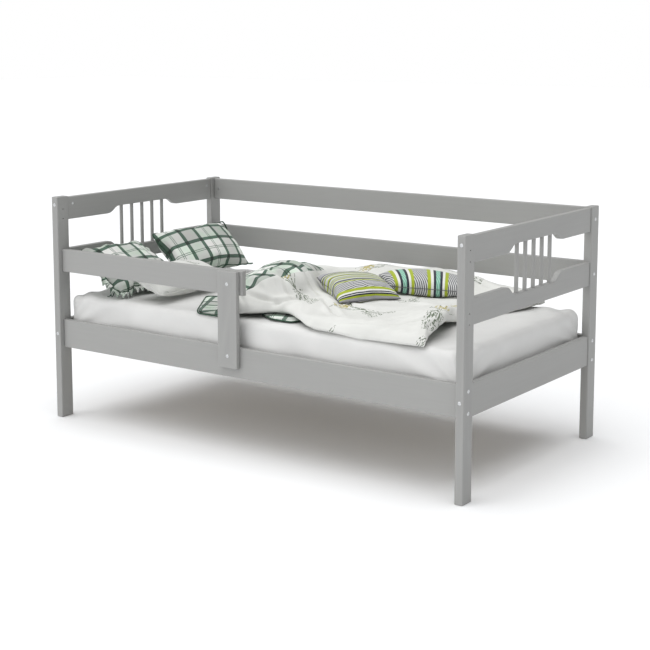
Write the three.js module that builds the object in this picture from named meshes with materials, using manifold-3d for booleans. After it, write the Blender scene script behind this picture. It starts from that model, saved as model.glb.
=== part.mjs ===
// A toddler bed: a bolted timber frame with two end panels, a guard rail, slats and its bedding.
// Millimetres, +Z up. Origin on the floor under the middle of the bed; +X to the foot end, +Y to the rear.
import * as THREE from "three";
import { mergeVertices } from "three/addons/utils/BufferGeometryUtils.js";
import Module from "manifold-3d";

const wasm = await Module();
wasm.setup();

// Frame, outside sizes.
const LENGTH = 1654;
const WIDTH = 880;
const HEIGHT = 784;
const GAP = 0.3; // clearance between pieces that touch

// Posts and boards.
const POST_X = 28; // along the bed
const POST_Y = 54; // across the bed
const POST_EDGE = 4;
const POST_END_BEVEL = 3;
const BOARD = 20; // thickness of every rail
const BOARD_EDGE = 2.5;
const RAIL_HEIGHT = 79;
const BED_RAIL_HEIGHT = 99;
const UPPER_RAIL_Z = 701; // undersides of the three rail levels
const MID_RAIL_Z = 521;
const BED_RAIL_Z = 252;
const POST_CENTRE_X = LENGTH / 2 - POST_X / 2;
const POST_CENTRE_Y = WIDTH / 2 - POST_Y / 2;
const END_RAIL_LENGTH = WIDTH - 2 * POST_Y - 2 * GAP;
const SIDE_RAIL_LENGTH = LENGTH - 2 * POST_X - 2 * GAP;

// The shallow cut-outs that face each other in an end panel, and the spindles between them.
const CUT_FLAT = 125; // half width of the level part
const CUT_HALF = 187; // half width at the mouth
const UPPER_CUT = 24;
const MID_CUT = 28;
const SPINDLES = 5;
const SPINDLE_PITCH = 54.5;
const SPINDLE_RADIUS = 6.5;
const SOCKET_DEPTH = 10;

// Guard rail across the head half of the front, and the stile that carries its free end.
const STILE_WIDTH = 78;
const STILE_THICKNESS = 17;
const STILE_BOTTOM = 285;
const STILE_TOP = 598;
const STILE_CENTRE_X = -41;
const GUARD_END_X = 9;

// Slats on two ledger strips.
const LEDGER = 25;
const SLATS = 10;
const SLAT_WIDTH = 90;
const SLAT_THICKNESS = 18;
const SLAT_PITCH = 160;
const LEDGER_CLEAR = 5; // from a ledger's end to the post
const SLAT_CLEAR = 3; // from a slat's end to the side rail
const LEDGER_RISE = 4; // above the bed rail's lower edge
const LEDGER_Z = BED_RAIL_Z + LEDGER_RISE;
const SLAT_Z = LEDGER_Z + LEDGER + GAP;

// Furniture bolts.
const SHANK_RADIUS = 3;
const SHANK_HOLE = SHANK_RADIUS + GAP;
const HEAD_RADIUS = 6;
const HEAD_DEPTH = 2.5;
const HEAD_HOLE = HEAD_RADIUS + GAP;
const HEX_RADIUS = 2.2;
const HEX_DEPTH = 1.6;
const HEAD_PROUD = 0.6;
const HEAD_CHAMFER = 0.7;
const BOLT_IN_RAIL = 30; // depth of a bolt hole in a rail's end
const BOLT_SPARE = 4; // clear hole beyond a bolt's tip
const OVERRUN = 2; // a cutting tool's reach past the face that it enters
const END_BOLT_Z = [756, 301]; // through the posts into the end panels
const SIDE_BOLT_Z = [333, 268]; // through the posts into the bed rails
const RAIL_BOLT_Z = [741, 558]; // through the rear posts into the upper and middle rails
const PIN_HOLE_Z = [740, 707, 558, 526]; // spare holes in the front posts
const PIN_HOLE_RADIUS = 2.4;
const STILE_BOLT_Z = [557, 324];

// Mattress and loose bedding.
const MATTRESS = { length: 1588, width: 792, bottom: 300, top: 438, corner: 34, edge: 24 };
const BED_TOP = MATTRESS.top + 5; // underside of what lies on the mattress
const DUVET = {
  headEdge: -345,
  headSlant: 150,
  footEdge: 655,
  footHollow: 75,
  halfWidth: 386,
  thickness: 20,
};
const DUVET_HUMP = { x: -95, y: -100, reachX: 112, reachY: 250, rise: 112 };

const PAINT = new THREE.MeshStandardMaterial({ color: 0x9c9d99, roughness: 0.55, metalness: 0 });
const SLAT_WOOD = new THREE.MeshStandardMaterial({ color: 0xcdb48a, roughness: 0.7, metalness: 0 });
const STEEL = new THREE.MeshStandardMaterial({ color: 0xc8c9cb, roughness: 0.3, metalness: 1 });
const SHEET = new THREE.MeshStandardMaterial({ color: 0xebebea, roughness: 0.6, metalness: 0 });
const PLAID = new THREE.MeshStandardMaterial({ color: 0xbfd4c2, roughness: 0.85, metalness: 0 });
const FLORAL = new THREE.MeshStandardMaterial({ color: 0xe6e6e0, roughness: 0.8, metalness: 0 });
const STRIPES = new THREE.MeshStandardMaterial({ color: 0x9ea35c, roughness: 0.85, metalness: 0 });

const bed = new THREE.Group();

function addMesh(name, geometry, material, x = 0, y = 0, z = 0) {
  const mesh = new THREE.Mesh(geometry, material);
  mesh.name = name;
  mesh.position.set(x, y, z);
  bed.add(mesh);
  return mesh;
}

// ---- joining and cutting ----

function solid(geometry) {
  const bare = new THREE.BufferGeometry();
  bare.setAttribute("position", geometry.getAttribute("position"));
  bare.setIndex(geometry.getIndex());
  const merged = mergeVertices(bare, 1e-4);
  return new wasm.Manifold(
    new wasm.Mesh({
      numProp: 3,
      vertProperties: merged.getAttribute("position").array,
      triVerts: new Uint32Array(merged.getIndex().array),
    }),
  );
}

function geometryOf(body) {
  const mesh = body.getMesh();
  const geometry = new THREE.BufferGeometry();
  geometry.setAttribute("position", new THREE.BufferAttribute(mesh.vertProperties, 3));
  geometry.setIndex(new THREE.BufferAttribute(mesh.triVerts, 1));
  geometry.computeVertexNormals();
  return geometry;
}

function cut(geometry, tools) {
  let body = solid(geometry);
  for (const tool of tools) body = body.subtract(solid(tool));
  return geometryOf(body);
}

// A round tool about the line through (x, y, z) along an axis, reaching half its length each way.
function rod(axis, radius, length, x, y, z, sides = 10) {
  const geometry = new THREE.CylinderGeometry(radius, radius, length, sides);
  if (axis === "x") geometry.rotateZ(Math.PI / 2);
  if (axis === "z") geometry.rotateX(Math.PI / 2);
  return geometry.translate(x, y, z);
}

// ---- timber ----

// A board cut from an outline in its own XZ plane, centred on its thickness, with eased edges.
function boardGeometry(outline, thickness) {
  const geometry = new THREE.ExtrudeGeometry(outline, {
    depth: thickness - 2 * BOARD_EDGE,
    curveSegments: 6,
    bevelEnabled: true,
    bevelSize: BOARD_EDGE,
    bevelOffset: -BOARD_EDGE,
    bevelThickness: BOARD_EDGE,
    bevelSegments: 2,
  });
  geometry.translate(0, 0, -thickness / 2 + BOARD_EDGE);
  return geometry.rotateX(Math.PI / 2);
}

function rectangle(width, height) {
  return new THREE.Shape([
    new THREE.Vector2(-width / 2, -height / 2),
    new THREE.Vector2(width / 2, -height / 2),
    new THREE.Vector2(width / 2, height / 2),
    new THREE.Vector2(-width / 2, height / 2),
  ]);
}

// A rail with a shallow cut-out in its lower (side -1) or upper (side +1) edge, entered by two S-curves.
function shapedRail(width, height, side, depth) {
  const shape = new THREE.Shape();
  const edge = (side * height) / 2;
  const inner = edge - side * depth;
  const bend = (CUT_HALF - CUT_FLAT) / 2;
  shape.moveTo((side * -width) / 2, -edge);
  shape.lineTo((side * width) / 2, -edge);
  shape.lineTo((side * width) / 2, edge);
  shape.lineTo(side * CUT_HALF, edge);
  shape.bezierCurveTo(
    side * (CUT_HALF - bend), edge,
    side * (CUT_FLAT + bend), inner,
    side * CUT_FLAT, inner,
  );
  shape.lineTo(-side * CUT_FLAT, inner);
  shape.bezierCurveTo(
    -side * (CUT_FLAT + bend), inner,
    -side * (CUT_HALF - bend), edge,
    -side * CUT_HALF, edge,
  );
  shape.lineTo((-side * width) / 2, edge);
  return shape;
}

// The blind bolt holes in a board's two ends, at heights measured from its centre line.
function endHoles(length, heights) {
  const tools = [];
  for (const z of heights)
    for (const end of [-1, 1]) {
      const x = (end * (length - BOLT_IN_RAIL)) / 2 + end * OVERRUN;
      tools.push(rod("x", SHANK_HOLE, BOLT_IN_RAIL + 2 * OVERRUN, x, 0, z));
    }
  return tools;
}

function postGeometry(bolts, pins) {
  const outline = new THREE.Shape();
  const x = POST_X / 2 - POST_EDGE;
  const y = POST_Y / 2 - POST_EDGE;
  outline.absarc(x, y, POST_EDGE, 0, Math.PI / 2);
  outline.absarc(-x, y, POST_EDGE, Math.PI / 2, Math.PI);
  outline.absarc(-x, -y, POST_EDGE, Math.PI, 1.5 * Math.PI);
  outline.absarc(x, -y, POST_EDGE, 1.5 * Math.PI, 2 * Math.PI);
  const geometry = new THREE.ExtrudeGeometry(outline, {
    depth: HEIGHT - 2 * POST_END_BEVEL,
    curveSegments: 3,
    bevelEnabled: true,
    bevelSize: POST_END_BEVEL,
    bevelOffset: -POST_END_BEVEL,
    bevelThickness: POST_END_BEVEL,
    bevelSegments: 2,
  });
  geometry.translate(0, 0, POST_END_BEVEL);
  return cut(geometry, [...bolts, ...pins]);
}

// The through hole and the head's recess for one bolt in a post; out is +1 or -1 along the axis.
function postBoltHole(axis, out, z) {
  const depth = axis === "x" ? POST_X : POST_Y;
  const centre = (out * depth) / 2;
  const through = rod(axis, SHANK_HOLE, depth + 2 * OVERRUN, 0, 0, z);
  const x = axis === "x" ? centre : 0;
  const y = axis === "y" ? centre : 0;
  const recess = rod(axis, HEAD_HOLE, 2 * (HEAD_DEPTH + GAP), x, y, z, 12);
  return [through, recess];
}

function addPosts() {
  for (const [endName, endSide] of [["head", -1], ["foot", 1]])
    for (const [sideName, rearSide] of [["front", -1], ["rear", 1]]) {
      const bolts = END_BOLT_Z.flatMap((z) => postBoltHole("y", rearSide, z));
      bolts.push(...SIDE_BOLT_Z.flatMap((z) => postBoltHole("x", endSide, z)));
      let pins = [];
      if (rearSide > 0) bolts.push(...RAIL_BOLT_Z.flatMap((z) => postBoltHole("x", endSide, z)));
      else pins = PIN_HOLE_Z.map((z) => rod("x", PIN_HOLE_RADIUS, POST_X + 2 * OVERRUN, 0, 0, z));
      const name = `post_${endName}_${sideName}`;
      const x = endSide * POST_CENTRE_X;
      addMesh(name, postGeometry(bolts, pins), PAINT, x, rearSide * POST_CENTRE_Y, 0);
    }
}

function spindleX(index) {
  return (index - (SPINDLES - 1) / 2) * SPINDLE_PITCH;
}

function sockets(side, railHeight, cutDepth) {
  const surface = side * (railHeight / 2 - cutDepth);
  const tools = [];
  for (let i = 0; i < SPINDLES; i += 1) {
    const z = surface - (side * SOCKET_DEPTH) / 2 + side * OVERRUN;
    tools.push(rod("z", SPINDLE_RADIUS + GAP, SOCKET_DEPTH + 2 * OVERRUN, spindleX(i), 0, z, 14));
  }
  return tools;
}

function addEndPanel(endName, endSide) {
  const panel = new THREE.Group();
  panel.position.x = endSide * POST_CENTRE_X;
  panel.rotation.z = Math.PI / 2;
  bed.add(panel);

  const upperCentre = UPPER_RAIL_Z + RAIL_HEIGHT / 2;
  const midCentre = MID_RAIL_Z + RAIL_HEIGHT / 2;
  const bedCentre = BED_RAIL_Z + BED_RAIL_HEIGHT / 2;
  const upper = cut(
    boardGeometry(shapedRail(END_RAIL_LENGTH, RAIL_HEIGHT, -1, UPPER_CUT), BOARD),
    [...sockets(-1, RAIL_HEIGHT, UPPER_CUT), ...endHoles(END_RAIL_LENGTH, [END_BOLT_Z[0] - upperCentre])],
  );
  const middle = cut(
    boardGeometry(shapedRail(END_RAIL_LENGTH, RAIL_HEIGHT, 1, MID_CUT), BOARD),
    sockets(1, RAIL_HEIGHT, MID_CUT),
  );
  const lower = cut(
    boardGeometry(rectangle(END_RAIL_LENGTH, BED_RAIL_HEIGHT), BOARD),
    endHoles(END_RAIL_LENGTH, [END_BOLT_Z[1] - bedCentre]),
  );
  panel.add(addMesh(`${endName}_upper_rail`, upper, PAINT, 0, 0, upperCentre));
  panel.add(addMesh(`${endName}_middle_rail`, middle, PAINT, 0, 0, midCentre));
  panel.add(addMesh(`${endName}_bed_rail`, lower, PAINT, 0, 0, bedCentre));

  const bottom = MID_RAIL_Z + RAIL_HEIGHT - MID_CUT - SOCKET_DEPTH + GAP;
  const top = UPPER_RAIL_Z + UPPER_CUT + SOCKET_DEPTH - GAP;
  for (let i = 0; i < SPINDLES; i += 1) {
    const spindle = rod("z", SPINDLE_RADIUS, top - bottom, 0, 0, 0, 14);
    panel.add(addMesh(`${endName}_spindle_${i + 1}`, spindle, PAINT, spindleX(i), 0, (top + bottom) / 2));
  }
}

function addSideRail(name, z, height, side, boltHeights, through = []) {
  const centre = z + height / 2;
  const tools = endHoles(SIDE_RAIL_LENGTH, boltHeights.map((bolt) => bolt - centre));
  const geometry = cut(boardGeometry(rectangle(SIDE_RAIL_LENGTH, height), BOARD), [...tools, ...through]);
  addMesh(name, geometry, PAINT, 0, side * POST_CENTRE_Y, centre);
}

function addSideRails() {
  const bedCentre = BED_RAIL_Z + BED_RAIL_HEIGHT / 2;
  const stileHoleZ = STILE_BOLT_Z[1] - bedCentre;
  const stileHole = rod("y", SHANK_HOLE, BOARD + 2 * OVERRUN, STILE_CENTRE_X, 0, stileHoleZ);
  addSideRail("front_bed_rail", BED_RAIL_Z, BED_RAIL_HEIGHT, -1, SIDE_BOLT_Z, [stileHole]);
  addSideRail("rear_bed_rail", BED_RAIL_Z, BED_RAIL_HEIGHT, 1, SIDE_BOLT_Z);
  addSideRail("rear_upper_rail", UPPER_RAIL_Z, RAIL_HEIGHT, 1, [RAIL_BOLT_Z[0]]);
  addSideRail("rear_middle_rail", MID_RAIL_Z, RAIL_HEIGHT, 1, [RAIL_BOLT_Z[1]]);
}

function addGuard() {
  const start = -LENGTH / 2 + POST_X + GAP;
  const length = GUARD_END_X - start;
  const centreX = (start + GUARD_END_X) / 2;
  const centreZ = MID_RAIL_Z + RAIL_HEIGHT / 2;
  const holeX = STILE_CENTRE_X - centreX;
  const hole = rod("y", SHANK_HOLE, BOARD + 2 * OVERRUN, holeX, 0, STILE_BOLT_Z[0] - centreZ);
  const guard = cut(boardGeometry(rectangle(length, RAIL_HEIGHT), BOARD), [hole]);
  addMesh("guard_rail", guard, PAINT, centreX, -POST_CENTRE_Y, centreZ);

  const stileCentre = (STILE_TOP + STILE_BOTTOM) / 2;
  const faceY = -STILE_THICKNESS / 2;
  const tools = STILE_BOLT_Z.flatMap((z) => [
    rod("y", SHANK_HOLE, STILE_THICKNESS + 2 * OVERRUN, 0, 0, z - stileCentre),
    rod("y", HEAD_HOLE, 2 * (HEAD_DEPTH + GAP), 0, faceY, z - stileCentre, 12),
  ]);
  const stile = cut(boardGeometry(rectangle(STILE_WIDTH, STILE_TOP - STILE_BOTTOM), STILE_THICKNESS), tools);
  addMesh("guard_stile", stile, PAINT, STILE_CENTRE_X, stileY(), stileCentre);
}

function stileY() {
  return -POST_CENTRE_Y - BOARD / 2 - GAP - STILE_THICKNESS / 2;
}

function addSlats() {
  const ledgerLength = SIDE_RAIL_LENGTH - 2 * LEDGER_CLEAR;
  const inner = POST_CENTRE_Y - BOARD / 2;
  for (const [name, side] of [["front_ledger", -1], ["rear_ledger", 1]]) {
    const ledger = boardGeometry(rectangle(ledgerLength, LEDGER), LEDGER);
    addMesh(name, ledger, SLAT_WOOD, 0, side * (inner - GAP - LEDGER / 2), LEDGER_Z + LEDGER / 2);
  }
  const slatLength = 2 * inner - 2 * SLAT_CLEAR;
  for (let i = 0; i < SLATS; i += 1) {
    const slat = boardGeometry(rectangle(SLAT_WIDTH, slatLength), SLAT_THICKNESS).rotateX(-Math.PI / 2);
    const x = (i - (SLATS - 1) / 2) * SLAT_PITCH;
    addMesh(`slat_${String(i + 1).padStart(2, "0")}`, slat, SLAT_WOOD, x, 0, SLAT_Z + SLAT_THICKNESS / 2);
  }
}

// ---- fasteners ----

// A furniture bolt along its own Y axis, head face at y = 0 and shank towards -Y.
function boltGeometry(shankLength) {
  const p = (r, y) => new THREE.Vector2(r, y);
  return new THREE.LatheGeometry(
    [
      p(0, -HEAD_DEPTH - shankLength),
      p(SHANK_RADIUS, -HEAD_DEPTH - shankLength),
      p(SHANK_RADIUS, -HEAD_DEPTH),
      p(HEAD_RADIUS, -HEAD_DEPTH),
      p(HEAD_RADIUS, -HEAD_CHAMFER),
      p(HEAD_RADIUS - HEAD_CHAMFER, 0),
      p(HEX_RADIUS, 0),
      p(HEX_RADIUS, -HEX_DEPTH),
      p(0, -HEX_DEPTH),
    ],
    10,
  );
}

// Places a bolt with its head's face just proud of the timber at (x, y, z), facing along out.
function addBolt(name, reach, x, y, z, out) {
  const bolt = addMesh(name, boltGeometry(reach - HEAD_DEPTH - GAP), STEEL);
  const direction = new THREE.Vector3(...out);
  bolt.quaternion.setFromUnitVectors(new THREE.Vector3(0, 1, 0), direction);
  bolt.position.set(x, y, z).addScaledVector(direction, HEAD_PROUD);
}

function addBolts() {
  for (const [endName, endSide] of [["head", -1], ["foot", 1]])
    for (const [sideName, rearSide] of [["front", -1], ["rear", 1]])
      ["upper", "lower"].forEach((level, i) => {
        const name = `bolt_${endName}_${sideName}_${level}`;
        const reach = POST_Y + BOLT_IN_RAIL - BOLT_SPARE;
        const y = (rearSide * WIDTH) / 2;
        addBolt(name, reach, endSide * POST_CENTRE_X, y, END_BOLT_Z[i], [0, rearSide, 0]);
      });
  for (const [endName, endSide] of [["head", -1], ["foot", 1]])
    ["upper", "middle"].forEach((level, i) => {
      const name = `bolt_${endName}_end_${level}`;
      const x = (endSide * LENGTH) / 2;
      addBolt(name, POST_X + BOLT_IN_RAIL - BOLT_SPARE, x, POST_CENTRE_Y, RAIL_BOLT_Z[i], [endSide, 0, 0]);
    });
  const face = stileY() - STILE_THICKNESS / 2;
  ["upper", "lower"].forEach((level, i) => {
    const reach = STILE_THICKNESS + GAP + BOARD;
    addBolt(`bolt_stile_${level}`, reach, STILE_CENTRE_X, face, STILE_BOLT_Z[i], [0, -1, 0]);
  });
}

// ---- bedding ----

function mattressGeometry() {
  const { length, width, bottom, top, corner, edge } = MATTRESS;
  const outline = new THREE.Shape();
  const x = length / 2 - corner;
  const y = width / 2 - corner;
  outline.absarc(x, y, corner, 0, Math.PI / 2);
  outline.absarc(-x, y, corner, Math.PI / 2, Math.PI);
  outline.absarc(-x, -y, corner, Math.PI, 1.5 * Math.PI);
  outline.absarc(x, -y, corner, 1.5 * Math.PI, 2 * Math.PI);
  const geometry = new THREE.ExtrudeGeometry(outline, {
    depth: top - bottom - 2 * edge,
    curveSegments: 4,
    bevelEnabled: true,
    bevelSize: edge,
    bevelOffset: -edge,
    bevelThickness: edge,
    bevelSegments: 3,
  });
  return geometry.translate(0, 0, bottom + edge);
}

// A closed form over a grid. top(u, v) and bottom(u, v) meet along the rim, with u and v from -1 to 1.
function quilted(columns, rows, top, bottom) {
  const positions = [];
  const grid = (point) => {
    const start = positions.length / 3;
    for (let j = 0; j <= rows; j += 1)
      for (let i = 0; i <= columns; i += 1)
        positions.push(...point((2 * i) / columns - 1, (2 * j) / rows - 1));
    return start;
  };
  const upper = grid(top);
  const lower = grid(bottom);
  const index = [];
  for (let j = 0; j < rows; j += 1)
    for (let i = 0; i < columns; i += 1) {
      const a = j * (columns + 1) + i;
      const b = a + columns + 1;
      index.push(upper + a, upper + a + 1, upper + b + 1, upper + a, upper + b + 1, upper + b);
      index.push(lower + a, lower + b + 1, lower + a + 1, lower + a, lower + b, lower + b + 1);
    }
  const geometry = new THREE.BufferGeometry();
  geometry.setAttribute("position", new THREE.Float32BufferAttribute(positions, 3));
  geometry.setIndex(index);
  return geometryOf(solid(geometry));
}

// Skew slants the -X end: its +Y corner stands out by half the skew, and its -Y corner draws in by as much.
function pillowGeometry(width, depth, thickness, skew = 0) {
  const half = (u, v) => (thickness / 2) * ((1 - u * u) * (1 - v * v)) ** 0.45;
  const x = (u, v) => (u * width) / 2 - (skew * (1 - u) * v) / 4;
  const side = (sign) => (u, v) => [x(u, v), (v * depth) / 2, sign * half(u, v)];
  return quilted(8, 8, side(1), side(-1));
}

// A pillow centred at a place and turned about Z. Lean raises its own +Y side, and tip its own +X side.
function addPillow(name, material, size, place, [turn, lean, tip]) {
  const mesh = addMesh(name, pillowGeometry(...size), material, ...place);
  const radians = [lean, -tip, turn].map((angle) => (angle * Math.PI) / 180);
  mesh.rotation.set(...radians, "ZXY");
}

// The duvet's plan runs between a slanted head edge and a hollow foot edge; one hump stands at its head end.
function duvetPoint(u, v) {
  const across = (v + 1) / 2;
  const left = DUVET.headEdge + DUVET.headSlant * across;
  const right = DUVET.footEdge - DUVET.footHollow * Math.sin(Math.PI * across);
  return [left + ((right - left) * (u + 1)) / 2, v * DUVET.halfWidth];
}

function duvetGeometry() {
  const { x: humpX, y: humpY, reachX, reachY, rise } = DUVET_HUMP;
  const top = (u, v) => {
    const [x, y] = duvetPoint(u, v);
    const rim = ((1 - u ** 4) * (1 - v ** 4)) ** 0.5;
    const hump = Math.exp(-(((x - humpX) / reachX) ** 2) - ((y - humpY) / reachY) ** 2);
    return [x, y, BED_TOP + rim * (DUVET.thickness + rise * hump)];
  };
  const bottom = (u, v) => [...duvetPoint(u, v), BED_TOP];
  return quilted(16, 10, top, bottom);
}

addPosts();
addEndPanel("head", -1);
addEndPanel("foot", 1);
addSideRails();
addGuard();
addSlats();
addBolts();
addMesh("mattress", mattressGeometry(), SHEET);
addMesh("duvet", duvetGeometry(), FLORAL);
addPillow("pillow_plaid_rear", PLAID, [380, 222, 90], [-667, 166, 538], [84, 42, 2]);
addPillow("pillow_plaid_front", PLAID, [320, 240, 85], [-675, -215, 522], [90, 34, 0]);
addPillow("pillow_floral", FLORAL, [400, 185, 80], [-472, -170, 497], [90, 20, 0]);
addPillow("cushion_square", STRIPES, [220, 220, 74], [192, -40, 512], [57, 14, -1]);
addPillow("cushion_oblong", STRIPES, [298, 162, 86, 80], [324, 182, 506], [22, 4, -1]);

export default bed;
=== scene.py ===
"""The looks of the toddler bed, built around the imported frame. Metres, +Z up, the frame's own axes."""

import math
from functools import partial

import bpy
import numpy as np
from mathutils import Matrix, Vector
from mathutils.bvhtree import BVHTree


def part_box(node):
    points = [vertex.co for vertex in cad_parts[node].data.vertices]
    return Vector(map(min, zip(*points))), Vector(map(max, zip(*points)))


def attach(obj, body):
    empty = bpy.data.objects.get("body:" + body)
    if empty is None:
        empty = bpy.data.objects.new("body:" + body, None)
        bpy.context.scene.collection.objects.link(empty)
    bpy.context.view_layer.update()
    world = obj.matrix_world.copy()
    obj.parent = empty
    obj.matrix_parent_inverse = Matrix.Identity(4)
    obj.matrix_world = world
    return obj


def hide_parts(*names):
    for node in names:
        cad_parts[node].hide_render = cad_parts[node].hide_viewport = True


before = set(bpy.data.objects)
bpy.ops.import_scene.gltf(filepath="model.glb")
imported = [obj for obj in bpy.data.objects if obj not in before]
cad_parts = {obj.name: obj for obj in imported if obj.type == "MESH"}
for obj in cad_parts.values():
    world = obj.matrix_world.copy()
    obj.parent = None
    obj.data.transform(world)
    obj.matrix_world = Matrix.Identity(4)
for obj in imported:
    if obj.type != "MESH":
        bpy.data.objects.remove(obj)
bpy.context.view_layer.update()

RANDOM = np.random.default_rng(7)
TAU = 2 * math.pi

# ---------------------------------------------------------------- camera, light and floor


def add_camera():
    data = bpy.data.cameras.new("camera")
    data.lens = 77.17
    data.sensor_width = 36.0
    data.shift_y = -0.15
    camera = bpy.data.objects.new("camera", data)
    camera.location = (2.7484, -3.7991, 1.3359)
    camera.rotation_euler = (math.radians(90 - 7.806), 0.0, math.radians(35.603))
    bpy.context.scene.collection.objects.link(camera)
    bpy.context.scene.camera = camera


def add_soft_sun(name, towards, strength, spread):
    """An even, very soft light from one direction, like a large softbox far away."""
    data = bpy.data.lights.new(name, "SUN")
    data.energy = strength
    data.angle = math.radians(spread)
    light = bpy.data.objects.new(name, data)
    light.rotation_euler = Vector(towards).to_track_quat("Z", "Y").to_euler()
    bpy.context.scene.collection.objects.link(light)


def add_studio():
    scene = bpy.context.scene
    scene.view_settings.view_transform = "Standard"
    world = bpy.data.worlds.new("studio")
    scene.world = world
    world.use_nodes = True
    tree = world.node_tree
    background = tree.nodes["Background"]
    seen = tree.nodes.new("ShaderNodeBackground")
    seen.inputs["Strength"].default_value = 1.0
    path = tree.nodes.new("ShaderNodeLightPath")
    mix = tree.nodes.new("ShaderNodeMixShader")
    background.inputs["Color"].default_value = (1.0, 1.0, 1.0, 1.0)
    background.inputs["Strength"].default_value = 0.42
    seen.inputs["Color"].default_value = (1.0, 1.0, 1.0, 1.0)
    tree.links.new(path.outputs["Is Camera Ray"], mix.inputs[0])
    tree.links.new(background.outputs[0], mix.inputs[1])
    tree.links.new(seen.outputs[0], mix.inputs[2])
    tree.links.new(mix.outputs[0], tree.nodes["World Output"].inputs["Surface"])
    add_soft_sun("overhead", (-0.06, -0.12, 1.0), 2.22, 75)
    add_soft_sun("front_left", (-0.40, -0.87, 0.32), 0.84, 55)
    floor_mesh = bpy.data.meshes.new("floor")
    reach = 30.0
    corners = [(-reach, -reach, 0), (reach, -reach, 0), (reach, reach, 0), (-reach, reach, 0)]
    floor_mesh.from_pydata(corners, [], [(0, 1, 2, 3)])
    floor = bpy.data.objects.new("floor", floor_mesh)
    scene.collection.objects.link(floor)
    material, shader, _ = new_material("floor_paint")
    shader.inputs["Base Color"].default_value = (0.926, 0.934, 0.945, 1.0)
    shader.inputs["Roughness"].default_value = 0.9
    shader.inputs["Specular IOR Level"].default_value = 0.1
    floor_mesh.materials.append(material)


# ---------------------------------------------------------------- shader building blocks


def new_material(name):
    material = bpy.data.materials.new(name)
    material.use_nodes = True
    tree = material.node_tree
    return material, tree.nodes["Principled BSDF"], tree


def node(tree, kind, **values):
    made = tree.nodes.new("ShaderNode" + kind)
    for key, value in values.items():
        setattr(made, key, value)
    return made


def fed(tree, kind, sockets, output=0, **values):
    """One output of a new node, whose sockets are each linked to another node's output or set to a value."""
    made = node(tree, kind, **values)
    for key, value in sockets.items():
        if isinstance(value, bpy.types.NodeSocket):
            tree.links.new(value, made.inputs[key])
        else:
            made.inputs[key].default_value = value
    return made.outputs[output]


def math_node(tree, operation, a, b=None):
    return fed(tree, "Math", {0: a} if b is None else {0: a, 1: b}, operation=operation)


def split(tree, vector):
    """The X, Y and Z of a vector."""
    made = node(tree, "SeparateXYZ")
    tree.links.new(vector, made.inputs[0])
    return made.outputs


def mix_colors(tree, factor, a, b, blend="MIX"):
    made = node(tree, "Mix", data_type="RGBA", blend_type=blend)
    for socket, value in ((made.inputs[0], factor), (made.inputs[6], a), (made.inputs[7], b)):
        if isinstance(value, (int, float)):
            socket.default_value = value
        elif isinstance(value, tuple):
            socket.default_value = (*value, 1.0)
        else:
            tree.links.new(value, socket)
    return made.outputs[2]


def ramp(tree, factor, stops, interpolation="LINEAR"):
    """A colour ramp from (position, (r, g, b)) stops."""
    made = node(tree, "ValToRGB")
    made.color_ramp.interpolation = interpolation
    elements = made.color_ramp.elements
    while len(elements) < len(stops):
        elements.new(1.0)
    for element, (position, color) in zip(elements, stops):
        element.position = position
        element.color = (*color, 1.0)
    tree.links.new(factor, made.inputs[0])
    return made.outputs[0]


def mapped(tree, vector, scale=(1, 1, 1), rotation=(0, 0, 0)):
    return fed(tree, "Mapping", {"Scale": scale, "Rotation": rotation, "Vector": vector})


def noise(tree, vector, scale, detail=2.0, roughness=0.5):
    sockets = {"Scale": scale, "Detail": detail, "Roughness": roughness, "Vector": vector}
    return fed(tree, "TexNoise", sockets, "Fac")


def bump(tree, height, strength, distance, normal=None):
    sockets = {"Strength": strength, "Distance": distance, "Height": height}
    if normal is not None:
        sockets["Normal"] = normal
    return fed(tree, "Bump", sockets)


# ---------------------------------------------------------------- paint, wood and steel


def paint_material(name, along):
    """Satin grey paint over timber: faint grain under the paint runs along the piece's long axis."""
    material, shader, tree = new_material(name)
    place = node(tree, "TexCoord").outputs["Object"]
    stretch = [26.0, 26.0, 26.0]
    stretch["xyz".index(along)] = 1.1
    grain = noise(tree, mapped(tree, place, tuple(stretch)), 6.0, 4.0, 0.55)
    cloud = noise(tree, place, 3.5, 2.0)
    tone = ramp(tree, grain, [(0.3, (0.312, 0.313, 0.306)), (0.7, (0.330, 0.331, 0.324))])
    tone = mix_colors(tree, 0.12, tone, ramp(tree, cloud, [(0.3, (0.298,) * 3), (0.7, (0.345,) * 3)]))
    # Lighter grey along sharp convex edges, where the pointiness is high.
    edge = node(tree, "NewGeometry").outputs["Pointiness"]
    lighter_convex_edge = ramp(tree, edge, [(0.50, (0.0,) * 3), (0.58, (1.0,) * 3)])
    tone = mix_colors(tree, math_node(tree, "MULTIPLY", lighter_convex_edge, 0.25), tone, (0.40, 0.40, 0.385))
    tree.links.new(tone, shader.inputs["Base Color"])
    peel = noise(tree, place, 420.0, 2.0)
    gloss = ramp(tree, cloud, [(0.2, (0.42,) * 3), (0.8, (0.54,) * 3)])
    tree.links.new(gloss, shader.inputs["Roughness"])
    normal = bump(tree, grain, 0.05, 0.0004)
    tree.links.new(bump(tree, peel, 0.05, 0.0003, normal), shader.inputs["Normal"])
    shader.inputs["Specular IOR Level"].default_value = 0.4
    return material


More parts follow.
